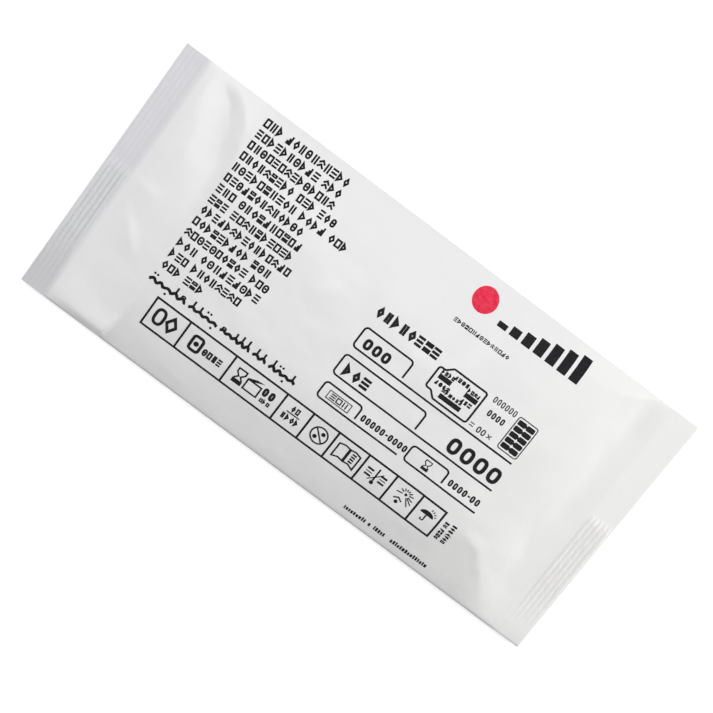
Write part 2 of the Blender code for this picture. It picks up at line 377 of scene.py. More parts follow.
def film_top(x, y):
    """Height of the film's top: the lowest of its sloping walls and of the film over the stack."""
    crowned = over_stack(y)
    beside = share(x, STACK_LEFT, STACK_LEFT - SHOULDER_STEP)
    near_width = NEAR_SLOPE + (NEAR_SHOULDER - NEAR_SLOPE) * beside
    near = EDGE_RISE * (y + POUCH_SIDE) / near_width
    shoulder = EDGE_RISE * (y + POUCH_SIDE) / NEAR_SHOULDER
    far = EDGE_RISE * (POUCH_SIDE - y) / FAR_WALL
    left = blended((crowned, shoulder, far), CREASE_SHARPNESS) * rising(x + SEAL_LINE, SEAL_BEND)
    right_foot = RIGHT_FOOT + RIGHT_FLARE * share(-y, POUCH_SIDE - RIGHT_FLARE_REACH, POUCH_SIDE)
    right = crowned * rising(right_foot - x, SEAL_BEND) / RIGHT_WALL
    over_right = blended((crowned, right), RIGHT_ROUNDNESS)
    over = over_right * blended((crowned, near), NEAR_ROUNDNESS) / crowned
    height = blended((over, left / LEFT_WALL, far, facet_height(x, y)), CREASE_SHARPNESS)
    folded = folds(x, y) * share(height, 0.0, FOLD_ROOT)
    wrinkled = wrinkles(x, y) * share(height, 0.0, WRINKLE_ROOT)
    from_side = POUCH_SIDE - np.abs(y)
    from_seal = SEAL_LINE - np.abs(x)
    roll_width = np.where(y < 0, NEAR_ROLL, FAR_ROLL)
    roll = ROLL_HEIGHT * (1 - np.exp(-from_side / roll_width)) * share(from_seal, 0.0, ROLL_FADE)
    low = LOW_STRIP * (1 - np.abs(x - RIGHT_FOOT) / RIGHT_FLAT)
    low = np.maximum(low, 0.0) * share(from_side, 0.0, LOW_STRIP_FADE)
    return RIM_TOP + height + folded + wrinkled + roll - low + crimp(x, y)


def film_under(x, y):
    """Height of the film's underside: on the table under the stack, and lifted towards the rim."""
    lift = np.maximum.reduce((
        share(x, STACK_RIGHT - BASE_INSET, RIGHT_FOOT),
        share(-x, BASE_INSET - STACK_LEFT, SEAL_LINE),
        share(y, STACK_FAR - BASE_INSET, POUCH_SIDE),
        share(-y, BASE_INSET - STACK_NEAR, POUCH_SIDE),
    ))
    flap_edge = SEAM_ROOT - SEAM_WIDTH
    past_edge = share(y, flap_edge, flap_edge - SEAM_BEVEL)
    relaxed = share(y, flap_edge - SEAM_BEVEL, flap_edge - SEAM_RELAX)
    on_flap = share(y, SEAM_ROOT, SEAM_ROOT - SEAM_BEVEL) * (1 - past_edge)
    groove = 1 - share(np.abs(y - SEAM_ROOT), 0, SEAM_BEVEL)
    beside = past_edge * (1 - relaxed) + groove
    seam = (1 - lift) * beside - lift * on_flap
    return RIM_HEIGHT * lift + SEAM_PLIES * seam + crimp(x, y)


def whole_turn(count):
    """Evenly spaced angles round a circle."""
    return [2 * math.pi * step / count for step in range(count)]


def around(x, y, radius, angle):
    """The place at the radius and the angle from x and y."""
    return x + radius * math.cos(angle), y + radius * math.sin(angle)


def box_corners(left, low, right, high):
    """The corners of a rectangle, in turn."""
    return [(left, low), (right, low), (right, high), (left, high)]


def stepped(lines, steps):
    """Evenly spaced values through the lines, each gap with its own step."""
    values = [lines[0]]
    for start, end, step in zip(lines, lines[1:], steps):
        count = max(1, math.ceil((end - start) / step - STEP_SLACK))
        values += [start + (end - start) * part / count for part in range(1, count + 1)]
    return np.array(values)


def make_mesh(name, vertices, faces, material):
    """A smooth-shaded object of one material from vertices and faces."""
    mesh = bpy.data.meshes.new(name)
    mesh.from_pydata(vertices.tolist(), [], faces)
    mesh.validate()
    mesh.shade_smooth()
    mesh.set_sharp_from_angle(angle=SHARP_ANGLE)
    mesh.materials.append(material)
    piece = bpy.data.objects.new(name, mesh)
    bpy.context.scene.collection.objects.link(piece)
    return piece


class Film:
    """The film's grid, from which the print reads its height."""

    def __init__(self):
        ends = [-POUCH_END, -SEAL_LINE, SEAL_LINE, POUCH_END]
        self.columns = stepped(ends, (FINE_STEP, FILM_STEP, FINE_STEP))
        flap_edge = SEAM_ROOT - SEAM_WIDTH
        sides = [
            -POUCH_SIDE, ROLL_REACH - POUCH_SIDE, flap_edge - SEAM_BEVEL, flap_edge,
            SEAM_ROOT - SEAM_BEVEL, SEAM_ROOT, SEAM_ROOT + SEAM_BEVEL, POUCH_SIDE - ROLL_REACH, POUCH_SIDE,
        ]
        self.rows = stepped(sides, [ROLL_STEP, *[FILM_STEP] * 6, ROLL_STEP])
        self.x, self.y = np.meshgrid(self.columns, self.rows)
        self.top = film_top(self.x, self.y)
        self.under = np.minimum(film_under(self.x, self.y), self.top - FILM_PAIR)

    def height(self, x, y):
        """The top's height at the places x and y, read from the grid."""
        column = np.clip(np.searchsorted(self.columns, x) - 1, 0, len(self.columns) - 2)
        row = np.clip(np.searchsorted(self.rows, y) - 1, 0, len(self.rows) - 2)
        left, right = self.columns[column], self.columns[column + 1]
        near, far = self.rows[row], self.rows[row + 1]
        across, up = (x - left) / (right - left), (y - near) / (far - near)
        low = self.top[row, column] * (1 - across) + self.top[row, column + 1] * across
        high = self.top[row + 1, column] * (1 - across) + self.top[row + 1, column + 1] * across
        return low * (1 - up) + high * up

    def piece(self, material):
        """The film as one closed mesh: its top, its underside and the rim that joins them."""
        count = self.x.size
        top = np.stack([self.x.ravel(), self.y.ravel(), self.top.ravel()], 1)
        under = np.stack([self.x.ravel(), self.y.ravel(), self.under.ravel()], 1)
        grid = np.arange(count).reshape(self.x.shape)
        quads = np.stack([grid[:-1, :-1], grid[:-1, 1:], grid[1:, 1:], grid[1:, :-1]], 2).reshape(-1, 4)
        around_rim = [grid[0], grid[1:, -1], grid[-1, -2::-1], grid[-2:0:-1, 0]]
        rim = np.concatenate(around_rim).tolist()
        faces = quads.tolist() + (quads[:, ::-1] + count).tolist()
        faces += [(a, count + a, count + b, b) for a, b in zip(rim, rim[1:] + rim[:1])]
        return make_mesh("pouch_film", np.concatenate([top, under]), faces, material)


class Print:
    """Flat shapes in millimetres, drawn side by side and then laid on the film as thin ink."""

    def __init__(self, seed):
        self.shape = bmesh.new()
        self.chance = random.Random(seed)
        self.middle = (0.0, 0.0)
        self.turn = 0.0

    def polygon(self, points):
        """A filled outline."""
        cosine, sine = math.cos(self.turn), math.sin(self.turn)
        vertices = []
        for x, y in points:
            place = (self.middle[0] + x * cosine - y * sine, self.middle[1] + x * sine + y * cosine, 0)
            vertices.append(self.shape.verts.new(place))
        self.shape.faces.new(vertices)

    def bar(self, left, low, right, high):
        """A filled rectangle."""
        self.polygon(box_corners(left, low, right, high))

    def line(self, points, width, closed=False):
        """A stroke of even width along the points, mitred where it turns."""
        points = [Vector(point) for point in points]
        count = len(points)
        sides = []
        for index, point in enumerate(points):
            before = points[index - 1] if index or closed else None
            after = points[(index + 1) % count] if index < count - 1 or closed else None
            into = (point - before).normalized() if before else (after - point).normalized()
            out = (after - point).normalized() if after else into
            across = Vector((-into.y - out.y, into.x + out.x)).normalized()
            reach = width / 2 / max(MITRE_LIMIT, across.dot(Vector((-into.y, into.x))))
            sides.append((point + across * reach, point - across * reach))
        for index in range(count if closed else count - 1):
            start, end = sides[index], sides[(index + 1) % count]
            self.polygon([start[1], end[1], end[0], start[0]])

    def frame(self, left, low, right, high, width, radius=0.0):
        """An outlined rectangle, with round corners if it has a radius. The stroke is inside it."""
        half = width / 2
        corners = box_corners(left + half, low + half, right - half, high - half)
        self.line(rounded(corners, radius, True), width, True)

    def disc(self, x, y, radius):
        """A filled disc."""
        angles = whole_turn(SMALL_DISC_STEPS if radius < SMALL_DISC else DISC_STEPS)
        self.polygon([around(x, y, radius, angle) for angle in angles])

    def oval(self, left, low, right, high, width):
        """An outlined oval that fills the rectangle. The stroke is inside it."""
        x, y = (left + right) / 2, (low + high) / 2
        half_x, half_y = (right - left - width) / 2, (high - low - width) / 2
        points = [
            (
                x + half_x * math.copysign(abs(math.cos(a)) ** OVAL_POWER, math.cos(a)),
                y + half_y * math.copysign(abs(math.sin(a)) ** OVAL_POWER, math.sin(a)),
            )
            for a in whole_turn(OVAL_STEPS)
        ]
        self.line(points, width, True)

    def lay(self, film, name, material):
        """Cuts the shapes on the film's grid, lays them on it and gives them the ink's thickness."""
        shape = self.shape
        bmesh.ops.triangulate(shape, faces=shape.faces)
        for axis, lines in enumerate((film.columns, film.rows)):
            places = [vertex.co[axis] * MM for vertex in shape.verts]
            for line in lines[(lines > min(places)) & (lines < max(places))]:
                point, normal = [0, 0, 0], [0, 0, 0]
                point[axis], normal[axis] = line / MM, 1
                everything = [*shape.verts, *shape.edges, *shape.faces]
                bmesh.ops.bisect_plane(shape, geom=everything, plane_co=point, plane_no=normal)
        bmesh.ops.triangulate(shape, faces=shape.faces)
        for face in shape.faces:
            face.normal_update()
            if face.normal.z < 0:
                face.normal_flip()
        shape.verts.index_update()
        flat = np.array([vertex.co[:2] for vertex in shape.verts]) * MM
        faces = [tuple(vertex.index for vertex in face.verts) for face in shape.faces]
        shape.free()
        top = film.height(flat[:, 0], flat[:, 1]) + INK_PROUD
        under = top - INK_DEPTH
        vertices = np.concatenate([np.column_stack([flat, top]), np.column_stack([flat, under])])
        count = len(flat)
        used = {(a, b) for face in faces for a, b in zip(face, face[1:] + face[:1])}
        rim = [(a, b) for a, b in sorted(used) if (b, a) not in used]
        backs = [tuple(count + index for index in reversed(face)) for face in faces]
        walls = [(b, a, count + a, count + b) for a, b in rim]
        piece = make_mesh(name, vertices, faces + backs + walls, material)
        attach(piece, "root")


def rounded(points, radius, closed=False):
    """The points with each corner replaced by an arc of the radius."""
    if not radius:
        return points
    points = [Vector(point) for point in points]
    count = len(points)
    result = []
    for index, point in enumerate(points):
        if not closed and index in (0, count - 1):
            result.append(tuple(point))
            continue
        before = (points[index - 1] - point).normalized()
        after = (points[(index + 1) % count] - point).normalized()
        half = before.angle(after) / 2
        setback = radius / math.tan(half)
        start, end = point + before * setback, point + after * setback
        middle = point + (before + after).normalized() * radius / math.sin(half)
        for step in range(ARC_STEPS + 1):
            chord = start.lerp(end, step / ARC_STEPS)
            result.append(tuple(middle + (chord - middle).normalized() * radius))
    return result


# Letter-size marks that are no letters. Each fills the box from (x, y) with its width and height.
def mark_window(ink, x, y, width, height, stroke):
    ink.frame(x, y, x + width, y + height, stroke)


def mark_bars(ink, x, y, width, height, stroke):
    for step in range(3):
        low = y + (height - stroke) * step / 2
        ink.bar(x, low, x + width, low + stroke)


def mark_stems(ink, x, y, width, height, stroke):
    ink.bar(x + 0.12 * width, y, x + 0.12 * width + stroke, y + height)
    ink.bar(x + 0.88 * width - stroke, y, x + 0.88 * width, y + height)


def mark_lozenge(ink, x, y, width, height, stroke):
    half = stroke * 0.62
    middle_x, middle_y = x + width / 2, y + height / 2
    left, right = (x + half, middle_y), (x + width - half, middle_y)
    ink.line([left, (middle_x, y + half), right, (middle_x, y + height - half)], stroke, True)


def mark_pennant(ink, x, y, width, height, stroke):
    half = stroke / 2
    corners = [(x + half, y + half), (x + width - stroke, y + height / 2), (x + half, y + height - half)]
    ink.line(corners, stroke, True)


def mark_target(ink, x, y, width, height, stroke):
    ink.oval(x, y, x + width, y + height, stroke)
    ink.disc(x + width / 2, y + height / 2, stroke * 0.6)


def mark_blocks(ink, x, y, width, height, stroke):
    gap = stroke * 0.6
    ink.bar(x, y, x + width, y + height / 2 - gap / 2)
    ink.frame(x, y + height / 2 + gap / 2, x + width, y + height, stroke * 0.9)


def mark_stairs(ink, x, y, width, height, stroke):
    for step in range(3):
        left = x + (width - 1.5 * stroke) * step / 2
        ink.bar(left, y, left + stroke, y + height * (0.4 + 0.3 * step))


def mark_chevrons(ink, x, y, width, height, stroke):
    for low in (y, y + height * 0.45):
        tip = low + height * 0.45
        ink.line([(x, low + stroke / 2), (x + width / 2, tip), (x + width, low + stroke / 2)], stroke)


COMMON_MARKS = (mark_window, mark_bars, mark_stems, mark_lozenge, mark_pennant)
MARKS = (*COMMON_MARKS, mark_target, mark_blocks, *COMMON_MARKS, mark_stairs, mark_chevrons)

MARK_WIDTHS = (0.80, 0.90)  # of a mark, in pitches
DIGIT_GAP = 0.18  # between the digits of a number, in their height
DASH_PITCH = 0.7  # what a dash takes up, and where it starts and ends in that, in pitches
DASH_START = 0.05
DASH_END = 0.5


def word(ink, x, middle, count, pitch, height, stroke):
    """A word of marks from x on, in an order drawn by chance. Returns where it ends."""
    last = None
    for _ in range(count):
        mark = ink.chance.choice([other for other in MARKS if other is not last])
        width = pitch * ink.chance.uniform(*MARK_WIDTHS)
        mark(ink, x, middle - height / 2, width, height, stroke)
        x += pitch
        last = mark
    return x


def words(ink, rows):
    """Words from a table: left end, middle height, marks, pitch, height and stroke of each."""
    for row in rows:
        word(ink, *row)


def zeros(ink, left, right, middle, height, stroke, groups):
    """A plain number of noughts from left to right, in groups with a short dash between them."""
    digits = sum(groups) + DASH_PITCH * (len(groups) - 1)
    gap = DIGIT_GAP * height
    pitch = (right - left + gap) / digits
    x = left
    for index, group in enumerate(groups):
        if index:
            start, end = x + DASH_START * pitch, x + DASH_END * pitch
            ink.bar(start, middle - stroke / 2, end, middle + stroke / 2)
            x += DASH_PITCH * pitch
        for _ in range(group):
            ink.oval(x, middle - height / 2, x + pitch - gap, middle + height / 2, stroke)
            x += pitch


# Text block: each row is given by where it ends and how many marks its words have
TEXT_LEFT = -69.4
ROW_TOP = 44.3
ROW_PITCH = 4.22
ROW_SPREAD = 0.0154  # how much wider the pitch looks with each row, as the film levels out
MARK_HEIGHT = 3.0
MARK_STROKE = 0.66
WORD_GAP = 0.6  # in marks
ROWS = (
    (-35.0, 3, 10), (-35.0, 10, 3), (-34.6, 14), (-30.6, 9, 3, 3), (-22.8, 10, 4, 3),
    (-37.7, 13), (-35.0, 3, 10), (-35.4, 3, 10), (-33.1, 15), (-38.0, 9, 3),
    (-35.5, 10, 3), (-35.9, 3, 9), (-40.5, 3, 8), (-52.6, 3, 3),
)

# Line of joined waves: how long its words and waves are, and how far a wave and a stem rise
FLOWING_LEFT = -70.2
FLOWING_BASE = -19.6
FLOWING_WORDS = (14.8, 11.6, 12.2, 5.4, 10.6)
FLOWING_GAP = 1.3
FLOWING_WAVE = 2.7
FLOWING_STROKE = 1.08
WAVE_SWELLS = (0.25, 0.6)
WAVE_STEPS = 8
STEM_HEIGHTS = (2.4, 3.1)

# Strip of symbols
STRIP_LEFT = -64.2
STRIP_RIGHT = 56.5
STRIP_LOW = -35.25
STRIP_HIGH = -23.4
STRIP_STROKE = 0.74
STRIP_DIVIDERS = (-50.1, -31.2, -10.05, 0.9, 11.55, 24.1, 35.8, 46.75)
SYMBOL_RISE = 0.15  # how far the symbols stand above the strip's middle line

# Its words: the cell, how far right of its middle and above it, marks, pitch, height and stroke
STRIP_WORDS = (
    (1, -0.8, -0.6, 4, 1.98, 2.7, 0.66),
    (2, 3.9, -2.3, 3, 1.4, 1.5, 0.46),
    (3, -1.6, 2.1, 2, 1.75, 2.3, 0.54),
    (3, -3.5, -1.7, 4, 1.8, 2.3, 0.54),
)

# Lines that run up beside the strip: how far right of it, and each word's start and marks
TURNED_RISE = 1.4
TURNED_LINES = (
    (2.2, ((0.0, 4), (5.4, 2))),
    (4.9, ((0.0, 7),)),
)
TURNED_MARK = (1.2, 1.7, 0.44)  # pitch, height and stroke

# Tabs: left, top, right end of the tab, height of the rule and where the rule ends
TAB_STROKE = 0.67
TAB_RADIUS = 1.3
TAB_DROP = 1.3  # how far above the rule the tab's right side ends
TABS = (
    (-3.0, 11.0, 16.6, 3.0, 62.8),
    (-2.9, -0.3, 30.4, -8.45, 63.3),
    (-2.6, -11.8, 12.4, -18.1, 30.9),
    (33.4, -11.7, 48.4, -18.05, 63.5),
)

# On and beside the tabs. Words: left end, middle height, marks, pitch, height and stroke. Numbers:
# left and right end, middle height, height, stroke and the digits in each group.
TAB_WORDS = (
    (-3.4, 17.6, 8, 3.2, 3.8, 0.96),
    (-0.4, -4.95, 3, 3.5, 4.0, 1.0),
    (1.4, -15.2, 3, 2.4, 2.1, 0.44),
)
TAB_NUMBERS = (
    (-0.5, 9.9, 6.35, 4.0, 1.08, (3,)),
    (42.1, 62.9, -3.85, 5.9, 1.35, (4,)),
    (13.9, 32.5, -14.8, 2.6, 0.6, (5, 4)),
    (50.2, 62.8, -14.7, 2.6, 0.6, (4, 2)),
    (44.8, 54.0, 17.2, 2.3, 0.36, (6,)),
    (45.9, 52.5, 12.4, 2.4, 0.5, (4,)),
    (46.4, 49.7, 5.75, 2.3, 0.42, (2,)),
)
WORD_FRAME = (0.2, -16.9, 9.4, -13.5, 0.32)
EQUALS = ((43.4, 5.15, 45.0, 5.49), (43.4, 6.15, 45.0, 6.49))
CROSS = (((50.6, 6.45), (52.0, 5.05)), ((50.6, 5.05), (52.0, 6.45)))
CROSS_STROKE = 0.34
TAB_HOURGLASS = (41.05, -14.9, 2.7, 4.0, 0.38)

# Pictogram of an electrode: its outline, its dark prints (left, low and right) and its words
ELECTRODE = (
    (42.2, 17.2), (28.6, 17.2), (26.4, 15.2), (24.1, 15.2), (24.1, 7.0),
    (26.4, 7.0), (28.6, 4.9), (42.2, 4.9),
)
ELECTRODE_RADIUS = 0.9
ELECTRODE_STROKE = 0.7
ELECTRODE_BARS = ((25.6, 11.6, 30.6), (36.2, 11.6, 41.2), (29.6, 6.3, 38.2))
ELECTRODE_BAR_HEIGHT = 1.75
ELECTRODE_WORDS = (
    (30.2, 15.2, 4, 1.5, 1.6, 0.5),
    (25.6, 14.3, 4, 1.35, 1.5, 0.48),
    (36.2, 14.3, 4, 1.3, 1.5, 0.48),
    (25.8, 10.2, 4, 1.5, 1.6, 0.5),
    (36.2, 10.2, 3, 1.5, 1.6, 0.5),
    (29.4, 9.1, 6, 1.4, 1.3, 0.44),
)

# Pictogram of a card of two by five such tabs
CARD_FRAME = (55.1, 4.7, 63.1, 17.8, 0.36, 0.8)
CARD_MIDDLE = 59.1
CARD_ROWS = 5
CARD_LOW = 5.65
CARD_PITCH = 2.32
CARD_TAB = (0.14, 3.25)  # from the card's middle line, where a tab begins and ends
CARD_TAB_HEIGHT = 1.9
CARD_TAB_RADIUS = 0.5
CARD_JOINT = (-0.2, 0.5, 0.2, 1.4)  # of the two tabs of a row

# Flight of rising blocks, the marks under it and the red disc beside it
BLOCKS = 7
BLOCK_LEFT = 30.6
BLOCK_LOW = 36.9
BLOCK_PITCH = 4.88
BLOCK_WIDTH = 3.5
BLOCK_HEIGHT = 2.0
BLOCK_GROWTH = 1.2
MOTIF_WORD = (18.2, 30.6, 15, 1.5, 1.5, 0.34)
RED_DISC = (22.8, 41.2, 4.5)

# Line of tiny marks at the near folded side, of which chance leaves some out
EDGE_LEFT = 28.2
EDGE_RIGHT = 62.0
EDGE_BASE = -45.5
EDGE_WIDTHS = (0.5, 0.9)
EDGE_HEIGHTS = (1.1, 1.7)
EDGE_GAP = 0.3
EDGE_FILLED = 0.93


def text_rows(ink):
    """The block of text, as rows of marks."""
    for row, (end, *counts) in enumerate(ROWS):
        middle = ROW_TOP - ROW_PITCH * row - ROW_SPREAD * row * row
        pitch = (end - TEXT_LEFT) / (sum(counts) + WORD_GAP * (len(counts) - 1))
        x = TEXT_LEFT
        for count in counts:
            x = word(ink, x, middle, count, pitch, MARK_HEIGHT, MARK_STROKE)
            x += WORD_GAP * pitch


def flowing_line(ink):
    """A line of joined waves with beads, stems and dots."""
    chance = ink.chance
    x = FLOWING_LEFT
    for width in FLOWING_WORDS:
        waves = round(width / FLOWING_WAVE)
        points = []
        for wave in range(waves):
            swell = chance.uniform(*WAVE_SWELLS)
            for step, angle in enumerate(whole_turn(WAVE_STEPS)):
                along = (wave + step / WAVE_STEPS) * width / waves
                points.append((x + along, FLOWING_BASE - swell * math.cos(angle)))
            crest, top = x + (wave + 0.5) * width / waves, FLOWING_BASE + swell
            kind = chance.choice(("bead", "stem", "dots", "dot", "bare"))
            if kind == "bead":
                ink.oval(crest - 0.9, top - 0.4, crest + 0.9, top + 1.2, 0.55)
            if kind == "stem":
                stem_end = FLOWING_BASE + chance.uniform(*STEM_HEIGHTS)
                ink.bar(crest - 0.36, top, crest + 0.36, stem_end)
            if kind == "dots":
                for side in (-1, 1):
                    ink.disc(crest + side * 0.6, FLOWING_BASE + 2.1, 0.42)
            if kind == "dot":
                ink.disc(crest, FLOWING_BASE - 1.9, 0.45)
        points.append((x + width, FLOWING_BASE - 0.3))
        ink.line(points, FLOWING_STROKE)
        x += width + FLOWING_GAP


def hourglass(ink, x, middle, width, height, stroke):
    """A waisted glass between two plates, its foot full."""
    half, reach = (width - stroke) / 2, height / 2
    ink.bar(x - width / 2, middle + reach - stroke, x + width / 2, middle + reach)
    ink.bar(x - width / 2, middle - reach, x + width / 2, middle - reach * 0.45)
    for side in (-1, 1):
        path = [(half, reach - stroke), (half, reach * 0.45), (half * 0.25, 0), (half, -reach * 0.45)]
        ink.line([(x + side * across, middle + up) for across, up in path], stroke)


def ring(ink, x, middle, radius, stroke):
    """An outlined circle."""
    ink.line([around(x, middle, radius, angle) for angle in whole_turn(RING_STEPS)], stroke, True)


def sunburst(ink, x, middle, radius, stroke):
    """A small sun with thin rays over a roof and a ball, with two long rays that pass them by."""
    sun_x, sun_y = x + 0.15 * radius, middle + 0.5 * radius
    ink.disc(sun_x, sun_y, radius * 0.16)
    rays = [
        (-17, 0.98), (14, 0.86), (42, 0.72), (70, 0.6), (98, 0.6),
        (126, 0.66), (156, 0.78), (190, 1.0), (-35, 1.2), (-54, 1.3),
    ]
    for angle, end in rays:
        angle = math.radians(angle)
        ink.line([around(sun_x, sun_y, part * radius, angle) for part in (0.36, end)], stroke)
    roof = [(-0.72, -0.44), (-0.25, -0.16), (0.22, -0.44)]
    ink.line([(x + across * radius, middle + up * radius) for across, up in roof], stroke * 1.2)
    ink.disc(x - 0.25 * radius, middle - 0.7 * radius, radius * 0.2)


def umbrella(ink, x, middle, radius, stroke):
    """A flat canopy on a hooked handle, with drops over it."""
    steps = [math.pi * step / 16 for step in range(17)]
    ink.polygon([(x + radius * math.cos(a), middle + 0.66 * radius * math.sin(a)) for a in steps])
    hook = [(0, 0), (0, -0.95), (-0.42, -0.95), (-0.42, -0.68)]
    ink.line(rounded([(x + across * radius, middle + up * radius) for across, up in hook], 0.4), stroke)
    for angle in (85, 65, 45, 25):
        angle = math.radians(angle)
        drop = [around(x + 0.25 * radius, middle, part * radius, angle) for part in (0.85, 1.15)]
        ink.line(drop, stroke * 0.7)


def book(ink, x, middle, width, height, stroke):
    """An open book with a few lines on its right page."""
    half, low, high = width / 2, middle - height / 2, middle + height / 2
    for side in (-1, 1):
        page = [
            (0.2, low + 0.6), (half * 0.5, low + 0.9), (half, low),
            (half, high - 0.6), (half * 0.5, high), (0.2, high - 0.3),
        ]
        ink.line([(x + side * across, up) for across, up in page], stroke, True)
    for step in range(4):
        y = middle - 1.5 + 1.0 * step
        ink.bar(x + half * 0.34, y, x + half * 0.72, y + 0.62)


def thermometer(ink, x, middle, height, stroke):
    """A thermometer crossed by a thin sloping line, between two short stacks of marks."""
    low, high = middle - height / 2, middle + height / 2
    ink.disc(x, low + 0.8, 0.75)
    ink.bar(x - 0.3, low + 1.5, x + 0.3, high)
    ink.line([(x - 2.0, low + 1.0), (x + 1.0, middle + 0.9), (x + 2.2, high - 1.0)], stroke * 0.6)
    for side in (-1, 1):
        for up, thick in ((1.1, 0.75), (0.1, 0.35), (-1.3, 0.75)):
            start, end = sorted((x + side * 1.5, x + side * 4.0))
            ink.bar(start, middle + up, end, middle + up + thick)


def open_box(ink, x, middle, width, height, stroke):
    """A box with its dark lid raised."""
    half, low, high = width / 2, middle - height / 2, middle + height * 0.34
    ink.frame(x - half, low, x + half, high, stroke)
    lid = [(-half, 0.34), (-half * 0.1, 0.34), (half, 0.62), (0.0, 0.56)]
    ink.polygon([(x + across, middle + height * up) for across, up in lid])


def symbols(ink):
    """The strip's frame and dividers, with a plain symbol in each cell."""
    middle = (STRIP_LOW + STRIP_HIGH) / 2 + SYMBOL_RISE
    half = STRIP_STROKE / 2
    ink.frame(STRIP_LEFT, STRIP_LOW, STRIP_RIGHT, STRIP_HIGH, STRIP_STROKE)
    inner_low, inner_high = STRIP_LOW + STRIP_STROKE, STRIP_HIGH - STRIP_STROKE
    for x in STRIP_DIVIDERS:
        ink.bar(x - half, inner_low, x + half, inner_high)
    edges = (STRIP_LEFT, *STRIP_DIVIDERS, STRIP_RIGHT)
    cells = [(left + right) / 2 for left, right in zip(edges, edges[1:])]
    for cell, right, up, *mark in STRIP_WORDS:
        word(ink, cells[cell] + right, middle + up, *mark)
    ink.oval(cells[0] - 4.7, middle - 3.35, cells[0] - 0.3, middle + 3.35, 1.08)
    lozenge = [(0.5, 0), (2.3, 2.7), (4.1, 0), (2.3, -2.7)]
    ink.line([(cells[0] + x, middle + y) for x, y in lozenge], 1.08, True)
    ink.frame(cells[1] - 6.3, middle - 3.2, cells[1] - 1.5, middle + 3.2, 1.05, 1.0)
    ink.disc(cells[1] - 3.9, middle, 0.95)
    hourglass(ink, cells[2] - 5.9, middle, 3.8, 5.9, 0.58)
    open_box(ink, cells[2] - 0.3, middle - 0.3, 6.0, 5.4, 0.6)
    zeros(ink, cells[2] + 3.3, cells[2] + 7.9, middle + 0.95, 3.3, 0.9, (2,))
    ink.bar(cells[3] - 2.6, middle + 0.1, cells[3] + 2.6, middle + 0.55)
    ring(ink, cells[4] + 0.3, middle, 3.05, 0.56)
    ink.line([(cells[4] - 1.8, middle + 2.1), (cells[4] + 2.4, middle - 2.1)], 0.56)
    for side in (-1, 1):
        ink.disc(cells[4] + 0.3 + side * 1.1, middle + side * 1.1, 0.76)
    book(ink, cells[5] + 0.1, middle, 8.6, 6.1, 0.58)
    thermometer(ink, cells[6], middle + 0.2, 6.6, 0.6)
    sunburst(ink, cells[7], middle - 0.1, 3.4, 0.42)
    umbrella(ink, cells[8] - 0.3, middle + 0.3, 2.6, 0.48)


def turned_lines(ink):
    """Two short lines of marks that run up the pouch beside the strip."""
    ink.turn = math.pi / 2
    for right, line in TURNED_LINES:
        ink.middle = (STRIP_RIGHT + right, STRIP_LOW + TURNED_RISE)
        for start, count in line:
            word(ink, start, 0.0, count, *TURNED_MARK)


def tab_frames(ink):
    """The four tabs, each a rounded tab drawn as one line with the rule that it stands on."""
    for left, top, right, rule, end in TABS:
        path = [(right, rule + TAB_DROP), (right, top), (left, top), (left, rule), (end, rule)]
        ink.line(rounded(path, TAB_RADIUS), TAB_STROKE)


def tab_contents(ink):
    """The plain numbers and marks on and beside the tabs."""
    words(ink, TAB_WORDS)
    for number in TAB_NUMBERS:
        zeros(ink, *number)
    ink.frame(*WORD_FRAME)
    hourglass(ink, *TAB_HOURGLASS)
    for bar in EQUALS:
        ink.bar(*bar)
    for stroke in CROSS:
        ink.line(stroke, CROSS_STROKE)


def pictograms(ink):
    """A tab electrode with its dark prints, and the card of two by five that it comes on."""
    ink.line(rounded(ELECTRODE, ELECTRODE_RADIUS, True), ELECTRODE_STROKE, True)
    for left, low, right in ELECTRODE_BARS:
        ink.bar(left, low, right, low + ELECTRODE_BAR_HEIGHT)
    words(ink, ELECTRODE_WORDS)
    ink.frame(*CARD_FRAME)
    for row in range(CARD_ROWS):
        low = CARD_LOW + row * CARD_PITCH
        for side in (-1, 1):
            inner, outer = sorted(CARD_MIDDLE + side * reach for reach in CARD_TAB)
            tab = box_corners(inner, low, outer, low + CARD_TAB_HEIGHT)
            ink.polygon(rounded(tab, CARD_TAB_RADIUS, True))
        left, joint_low, right, joint_high = CARD_JOINT
        ink.bar(CARD_MIDDLE + left, low + joint_low, CARD_MIDDLE + right, low + joint_high)


def motif_dark(ink):
    """A flight of rising blocks, with a line of small marks under it."""
    for step in range(BLOCKS):
        left = BLOCK_LEFT + step * BLOCK_PITCH
        height = BLOCK_HEIGHT + step * BLOCK_GROWTH
        ink.bar(left, BLOCK_LOW, left + BLOCK_WIDTH, BLOCK_LOW + height)
    word(ink, *MOTIF_WORD)


def motif_red(ink):
    """The red disc beside the blocks."""
    ink.disc(*RED_DISC)


def edge_line(ink):
    """A line of tiny marks beside the near folded side."""
    chance = ink.chance
    x = EDGE_LEFT
    while x < EDGE_RIGHT:
        width = chance.uniform(*EDGE_WIDTHS)
        if chance.random() < EDGE_FILLED:
            ink.bar(x, EDGE_BASE, x + width, EDGE_BASE + chance.uniform(*EDGE_HEIGHTS))
        x += width + EDGE_GAP


